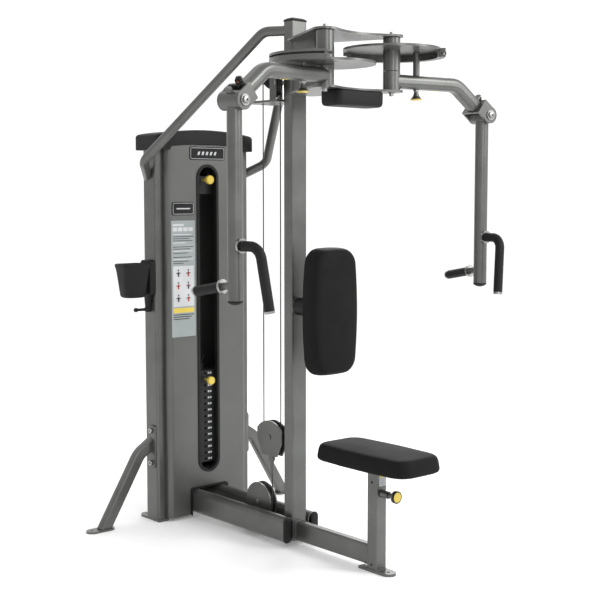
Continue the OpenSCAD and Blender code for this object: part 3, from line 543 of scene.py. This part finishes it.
# ---- plates and labels on the panel: blank or generic ----
def panel_plates():
    """Two dark plates with a border; plain slanted bars stand where marks would be."""
    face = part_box("nameplates")[0].y
    print_y = face - 0.0001
    bm = bmesh.new()
    for cx, cz, w, h in ((0.0, 1.534, 0.18, 0.054), (-0.125, 1.306, 0.111, 0.054)):
        plaque(bm, cx, cz, w, h, 0.009, face, 0.0029)
        border(bm, cx, cz, w - 0.008, h - 0.008, 0.006, 0.0016, print_y, 1)
    for k in range(5):
        patch(bm, -0.052 + 0.021 * k, -0.037 + 0.021 * k, 1.527, 1.541, print_y, 1, 0.005)
    patch(bm, -0.16, -0.09, 1.3035, 1.3085, print_y, 1, 0.002)
    plates = finish_piece("panel_plates", bm, [M["black_plastic"], INK_WHITE], "frame")
    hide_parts("nameplates")


def panel_label():
    """The instruction label: bars for lines of text, and little figures with no detail."""
    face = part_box("nameplates")[0].y + 0.0021
    cx, cz, w, h = -0.125, 1.016, 0.12, 0.482
    x0, x1 = cx - w / 2 + 0.008, cx + w / 2 - 0.008
    white, dark, red, yellow = 1, 2, 3, 4
    print_y, over_y = face - 0.0001, face - 0.0002
    bm = bmesh.new()
    plaque(bm, cx, cz, w, h, 0.004, face, 0.0008)
    z = cz + h / 2 - 0.014
    patch(bm, x0, x1 - 0.05, z - 0.008, z, print_y, white)
    for k in range(4):
        patch(bm, x0 + 0.026 * k, x0 + 0.022 + 0.026 * k, z - 0.03, z - 0.014, print_y, white)
    z -= 0.042
    lines, pitch = (0.9, 1.0, 0.8, 0.95, 0.6, 0, 1.0, 0.85, 0.95, 0.7, 0, 0.9, 1.0, 0.75, 0.5), 0.0085
    for k, share in enumerate(lines):
        if share:
            top = z - pitch * k
            patch(bm, x0, x0 + (x1 - x0) * share, top - 0.003, top, print_y, dark if k % 4 else white)
    z -= pitch * len(lines) + 0.004
    patch(bm, x0, x1, z - 0.168, z, print_y, white)
    for column in range(2):
        for row in range(3):
            fx, fz = x0 + 0.026 + 0.05 * column, z - 0.03 - 0.052 * row
            body_ink = red if (column + row) % 2 else dark
            arms_ink = red if row == 1 else dark
            patch(bm, fx - 0.004, fx + 0.004, fz - 0.014, fz + 0.006, over_y, body_ink)
            patch(bm, fx - 0.0035, fx + 0.0035, fz + 0.009, fz + 0.016, over_y, dark)
            patch(bm, fx - 0.013, fx + 0.013, fz - 0.002, fz + 0.002, over_y, arms_ink, 0.004)
    z -= 0.174
    patch(bm, x0, x1, z - 0.02, z, print_y, yellow)
    for k in range(3):
        top = z - 0.026 - 0.009 * k
        patch(bm, x0, x1 - 0.012 * k, top - 0.004, top, print_y, dark)
    inks = [M["label_face"], INK_WHITE, INK_DARK, INK_RED, M["yellow_plastic"]]
    finish_piece("panel_label", bm, inks, "frame")


panel_plates()
panel_label()


# ---- knobs and pull pins ----
def knob(name, node, out, r, rim):
    """A knob's turned rim and recessed yellow face, in front of the node's own knob."""
    lo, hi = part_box(node)
    tip = (0, lo.y - out, (lo.z + hi.z) / 2)
    rim_profile = [(0, 0.0012), (r * 0.84, 0.0012), (r * 0.86, 0.0002), (r * 0.95, 0.0), (r, 0.0014),
                   (r, 0.006), (r * 0.9, 0.0095), (r * 0.55, 0.012), (0, 0.012)]
    bm = bmesh.new()
    lathe(bm, tip, (0, 1, 0), rim_profile, 44, 0)
    lathe(bm, tip, (0, 1, 0), [(0, 0.0004), (r * 0.8, 0.0005), (r * 0.82, 0.0018), (0, 0.0018)], 44, 1)
    finish_piece(name, bm, [rim, M["yellow_plastic"]], node)


knob("selector_face", "selector_pin", 0.0016, 0.0172, M["yellow_plastic"])
knob("addon_face", "addon_knob", 0.0016, 0.0182, M["yellow_plastic"])
NODES["seat_pull_pin"].data.materials[0] = M["zinc_steel"]
knob("seat_knob_face", "seat_pull_pin", 0.0022, 0.0226, M["black_plastic"])

lo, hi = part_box("seat_pull_pin")
SEAT_PIN_Z = (lo.z + hi.z) / 2
POST_HALF = 0.0254
POST_FRONT = lo.y + 0.078
bm = bmesh.new()
lathe(bm, (0, POST_FRONT - 0.036, SEAT_PIN_Z), (0, -1, 0),
      [(0.0068, 0.0008), (0.0128, 0.0008), (0.0136, 0.0), (0.0136, -0.028), (0.0142, -0.029),
       (0.0142, -0.0335), (0.0131, -0.0335)], 40)
finish_piece("seat_pin_barrel", bm, M["zinc_steel"], "frame")

for side, s in SIDES:
    lo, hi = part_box(side + "_pull_pin")
    x, y = (lo.x + hi.x) / 2, (lo.y + hi.y) / 2
    bm = bmesh.new()
    lathe(bm, (x, y, lo.z), (0, 0, 1), [(0.0, -0.0004), (0.0195, -0.0004), (0.0209, 0.0006), (0.0209, 0.0034),
                                        (0.0203, 0.0042), (0.0, 0.0042)], 44)
    finish_piece(side + "_pin_ring", bm, M["yellow_plastic"], side + "_pull_pin")
    bm = bmesh.new()
    lathe(bm, (x, y, 1.7452), (0, 0, 1), [(0.0064, 0.0), (0.0118, 0.0), (0.0124, 0.001), (0.0124, 0.0064),
                                          (0.0116, 0.0076), (0.0064, 0.0076)], 6)
    finish_piece(side + "_pin_nut", bm, M["polished_steel"], side + "_arm", 20)


# ---- bolt heads and the arms' bumpers ----
def socket_head(bm, centre, axis, r):
    """A low round head; its hexagonal socket is a thin dark hex in slot 1 on the dome, painted shade in place
    of a sunk recess.
    """
    dome = [(r, -0.001), (r, 0.0012), (r * 0.93, 0.0026), (r * 0.5, 0.0034), (0.0, 0.0034)]
    lathe(bm, centre, axis, dome, 44, 0)
    # painted shade: a flat dark hexagon stands in for the shaded hollow of the socket
    lathe(bm, centre, axis, [(r * 0.34, 0.0030), (r * 0.34, 0.0038), (0.0, 0.0038)], 6, 1)


def knuckle_details(side, s):
    """Bolt heads on the knuckle's pin, and a rubber bumper on a tab on top of the arm."""
    lo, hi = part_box(side + "_knuckle_pin")
    mid = (lo + hi) / 2
    pin = Vector((s * math.sin(TOE), math.cos(TOE), 0))
    bm = bmesh.new()
    for end in (-1, 1):
        socket_head(bm, mid + pin * end * 0.0558, pin * end, 0.0125)
    arm = side + "_arm"
    # the second material colours the socket hexagons as painted shade
    finish_piece(side + "_pin_heads", bm, [M["polished_steel"], M["wheel_plastic"]], arm)
    inward = Vector((-s * math.cos(TOE), math.sin(TOE), 0))
    back = inward * math.cos(ARM_DROP) + Vector((0, 0, math.sin(ARM_DROP)))
    across = pin.cross(back).normalized()
    if across.z < 0:
        across = -across
    seat = mid + across * 0.036 + back * 0.059
    bm = bmesh.new()
    lathe(bm, seat, -back, [(0.0, -0.0005), (0.0128, -0.0005), (0.0138, 0.0012), (0.0138, 0.0085),
                            (0.0125, 0.0098), (0.0062, 0.0098), (0.006, 0.0088), (0.0, 0.0088)], 36, 0)
    lathe(bm, seat, -back, [(0.0, 0.0084), (0.0054, 0.0084), (0.005, 0.0097), (0.0, 0.0097)], 24, 1)
    tab = seat - across * 0.004
    loft(bm, [[tab + back * depth + pin * u + across * v
               for u, v in rounded(0.03 - inset, 0.038 - inset, 0.009)]
              for depth, inset in ((-0.0002, 0.001), (0.0004, 0.0), (0.0054, 0.0), (0.006, 0.001))], 2)
    finish_piece(side + "_stop_face", bm, [M["black_rubber"], COPPER, M["frame_paint"]], arm)


for side, s in SIDES:
    knuckle_details(side, s)

LEG_BOLT = Vector((0.2562, 0.602, 0.317))  # middle of the right leg's bolted plate, on its outer face
bm = bmesh.new()
for _, s in SIDES:
    for dz in (-0.068, 0.068):
        socket_head(bm, (s * LEG_BOLT.x, LEG_BOLT.y, LEG_BOLT.z + dz), (s, 0, 0), 0.0112)
    for z, up in ((1.954, 1), (1.727, -1)):
        socket_head(bm, (s * PIVOT_X, PIVOT_Y, z), (0, 0, up), 0.0085)
# the second material colours the socket hexagons as painted shade
finish_piece("bolt_sockets", bm, [M["polished_steel"], M["wheel_plastic"]], "frame")


# ---- cables: the upright runs and the cams' runs ----
CABLE_R = 0.0024


def cable_run(name, y, z0, z1, node=None):
    """An upright run in the middle plane, from z0 to z1."""
    count = max(8, int((z1 - z0) / 0.02))
    bm = bmesh.new()
    tube(bm, [(0, y, z0 + (z1 - z0) * k / count) for k in range(count + 1)], CABLE_R, 12)
    o = finish_piece(name, bm, M["steel_cable"], None, 60)
    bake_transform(o)
    if node:
        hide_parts(node)


lo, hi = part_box("drop_cables")
wheel_z = JOINT_AT["floating_wheel_spin"].z
cable_run("front_drop", lo.y + CABLE_R, wheel_z, hi.z - 0.038, "drop_cables")
cable_run("rear_drop", hi.y - CABLE_R, wheel_z, hi.z)
lo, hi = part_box("lift_cable")
cable_run("lower_run", (lo.y + hi.y) / 2, lo.z, hi.z, "lift_cable")
lo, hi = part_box("stack_cable")
cable_run("stack_run", (lo.y + hi.y) / 2, lo.z, hi.z, "stack_cable")


def cam_cable(side, s, z, start, end=233.0, groove_r=0.1852, count=60):
    """The cable laid in a cam's groove, with a crimped stop at its end."""
    points = []
    for k in range(count):
        a = math.radians(start + (end - start) * k / (count - 1))
        points.append(Vector((s * (PIVOT_X - groove_r * math.cos(a)), PIVOT_Y + groove_r * math.sin(a), z)))
    bm = bmesh.new()
    tube(bm, points, 0.0023, 10)
    crimp = [(0, -0.002), (0.0045, -0.001), (0.0052, 0.003), (0.0045, 0.008), (0, 0.0095)]
    lathe(bm, points[-1], points[-1] - points[-2], crimp, 20)
    finish_piece(side + "_cam_cable", bm, M["steel_cable"], side + "_cam", 60)


cam_cable("left", -1, 1.838, start=137.0)
cam_cable("right", 1, 1.876, start=127.0)


# ---- stack details ----
def plate_marks(name, body, plates):
    """Two white ticks on the front of each weight plate, where the real one has its number."""
    lowest, pitch, half = 0.224, 0.0264, 0.0127
    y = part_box("resting_plates")[0].y - 0.0002
    bm = bmesh.new()
    for i in plates:
        z = lowest + pitch * i + half
        for x in (0.014, 0.025):
            patch(bm, x, x + 0.008, z - 0.004, z + 0.004, y, 0)
    finish_piece(name, bm, [INK_WHITE], body)


plate_marks("plate_marks", "frame", range(13))
plate_marks("top_plate_marks", "lifted", (13, 14))

lo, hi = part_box("selector_pin")
lanyard = []
for k in range(31):
    t = k / 30
    bow, rise = -0.028 * math.sin(math.pi * t), 0.02 + 0.085 * t
    lanyard.append((bow, lo.y + 0.022 + 0.03 * t, (lo.z + hi.z) / 2 + rise))
bm = bmesh.new()
tube(bm, lanyard, 0.0022, 8)
finish_piece("pin_lanyard", bm, M["black_rubber"], "lifted", 60)


# ---- small stickers: blank ----
def arm_sticker(side, s):
    """A yellow sticker on top of the arm, 34 by 16 mm."""
    c, n = math.cos(TOE), math.sin(TOE)
    corners = ((0.19, -0.008), (0.224, -0.008), (0.224, 0.008), (0.19, 0.008))
    flat = [(s * (PIVOT_X + r * c + y * n), PIVOT_Y - r * n + y * c) for r, y in corners]
    bm = bmesh.new()
    loft(bm, [[(x, y, z) for x, y in flat] for z in (1.7520, 1.7526)])
    finish_piece(side + "_arm_sticker", bm, M["yellow_plastic"], side + "_arm")


for side, s in SIDES:
    arm_sticker(side, s)

bm = bmesh.new()
plaque(bm, 0.004, 0.335, 0.034, 0.032, 0.002, POST_FRONT - 0.0006, 0.0005)
plaque(bm, 0.004, 0.3565, 0.034, 0.011, 0.001, POST_FRONT - 0.0007, 0.0005, 1)
for k in range(4):
    patch(bm, -0.009, 0.016 - 0.003 * (k % 2), 0.325 + 0.006 * k, 0.327 + 0.006 * k, POST_FRONT - 0.0008, 2)
finish_piece("post_label", bm, [INK_WHITE, M["yellow_plastic"], M["label_face"]], "frame")

# small black plugs in both sides of the seat post
bm = bmesh.new()
for _, s in SIDES:
    for z in (0.028, SEAT_PIN_Z + 0.04):
        lathe(bm, (s * POST_HALF, POST_FRONT + POST_HALF, z), (s, 0, 0),
              [(0.005, -0.001), (0.005, 0.0003), (0.0042, 0.0007), (0.0, 0.0007)], 24)
finish_piece("post_plugs", bm, M["black_plastic"], "frame")


# ---- weld beads where the tubes meet ----
def bead(name, loop, r=0.0026, around=8):
    """A rippled weld along a closed loop of points."""
    pts = [Vector(p) for p in loop]
    bm = bmesh.new()
    rings, last = [], None
    for i, p in enumerate(pts):
        d = (pts[(i + 1) % len(pts)] - pts[i - 1]).normalized()
        x = d.orthogonal().normalized()
        y = d.cross(x)
        ripple = r * (1 + 0.16 * math.sin(i * 2.1) + 0.1 * noise.noise(p * 400))
        ring = [p + a * x + b * y for a, b in circle(ripple, around)]
        if last:
            turns = [ring[k:] + ring[:k] for k in range(around)]
            ring = min(turns, key=lambda turned: sum((v - w).length for v, w in zip(turned, last)))
        last = ring
        rings.append([bm.verts.new(v) for v in ring])
    first = rings[0]
    turns = [first[k:] + first[:k] for k in range(around)]
    rings.append(min(turns, key=lambda turned: (turned[0].co - rings[-1][0].co).length))
    join_rings(bm, rings)
    finish_piece(name, bm, M["frame_paint"], "frame", 60)


beam_lo, beam_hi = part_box("seat_beam")
beam_outline = stepped(rounded(beam_hi.x - beam_lo.x, beam_hi.z - beam_lo.z, 0.01, 10), 0.004)
for name, y in (("seat_beam_weld", beam_hi.y), ("seat_post_weld", beam_lo.y)):
    bead(name, [(x, y, (beam_lo.z + beam_hi.z) / 2 + z) for x, z in beam_outline])
bead("standoff_weld", [(x, beam_hi.y, 0.937 + z) for x, z in circle(0.035, 60)])
foot_outline = rounded(2 * POST_HALF, 2 * POST_HALF, 0.006, 10)
bead("post_foot_weld", [(x, y + POST_FRONT + POST_HALF, 0.0105) for x, y in foot_outline])


# ---- stage, light and camera ----
bm = bmesh.new()
bm.faces.new([bm.verts.new(p) for p in ((-14, -14, 0), (14, -14, 0), (14, 14, 0), (-14, 14, 0))])
me = bpy.data.meshes.new("floor")
bm.to_mesh(me)
bm.free()
floor = bpy.data.objects.new("floor", me)
scene.collection.objects.link(floor)
paper = material("floor_paper", grey(0.94), grey(0.97), 0.8, size=60, bump=0.02, blotch=0.6)
shader = paper.node_tree.nodes["Principled BSDF"]
shader.inputs["Emission Color"].default_value = (1, 1, 1, 1)
shader.inputs["Emission Strength"].default_value = 0.12
me.materials.append(paper)

# white all round, a little weaker towards the left, so that left faces are darker
world = bpy.data.worlds.new("studio") if not scene.world else scene.world
scene.world = world
world.use_nodes = True
wt = world.node_tree
sky = wt.nodes["Background"]
sky.inputs["Color"].default_value = (1, 1, 1, 1)
split = wt.nodes.new("ShaderNodeSeparateXYZ")
wt.links.new(wt.nodes.new("ShaderNodeTexCoord").outputs["Generated"], split.inputs[0])
fade = wt.nodes.new("ShaderNodeMapRange")
fade.interpolation_type = "SMOOTHSTEP"
for key, value in (("From Min", -0.6), ("From Max", 0.3), ("To Min", 0.8), ("To Max", 1.1)):
    fade.inputs[key].default_value = value
wt.links.new(split.outputs["X"], fade.inputs["Value"])
wt.links.new(fade.outputs["Result"], sky.inputs["Strength"])


def area(name, where, at, width, height, power):
    """A soft box at where, turned towards at."""
    data = bpy.data.lights.new(name, "AREA")
    data.shape = "RECTANGLE"
    data.energy, data.size, data.size_y = power, width, height
    o = bpy.data.objects.new(name, data)
    scene.collection.objects.link(o)
    o.location = where
    o.rotation_euler = (Vector(at) - Vector(where)).to_track_quat("-Z", "Y").to_euler()


area("key", (2.2, -3.6, 3.3), (0, 0, 1.0), 1.5, 2.4, 96)
area("front", (-1.4, -4.4, 2.7), (0, 0, 1.0), 0.8, 2.4, 32)
area("rim", (2.8, 2.2, 2.8), (0, 0, 1.2), 1.2, 2.0, 45)

cam = bpy.data.cameras.new("camera")
cam.lens, cam.sensor_width = 72.3, 36.0
cam.clip_end = 60
eye = bpy.data.objects.new("camera", cam)
scene.collection.objects.link(eye)
eye.location = (-3.0, -3.556, 1.375)
eye.rotation_euler = (math.radians(90 - 5.13), 0, math.radians(-40.62))
scene.camera = eye
scene.view_settings.view_transform = "Standard"
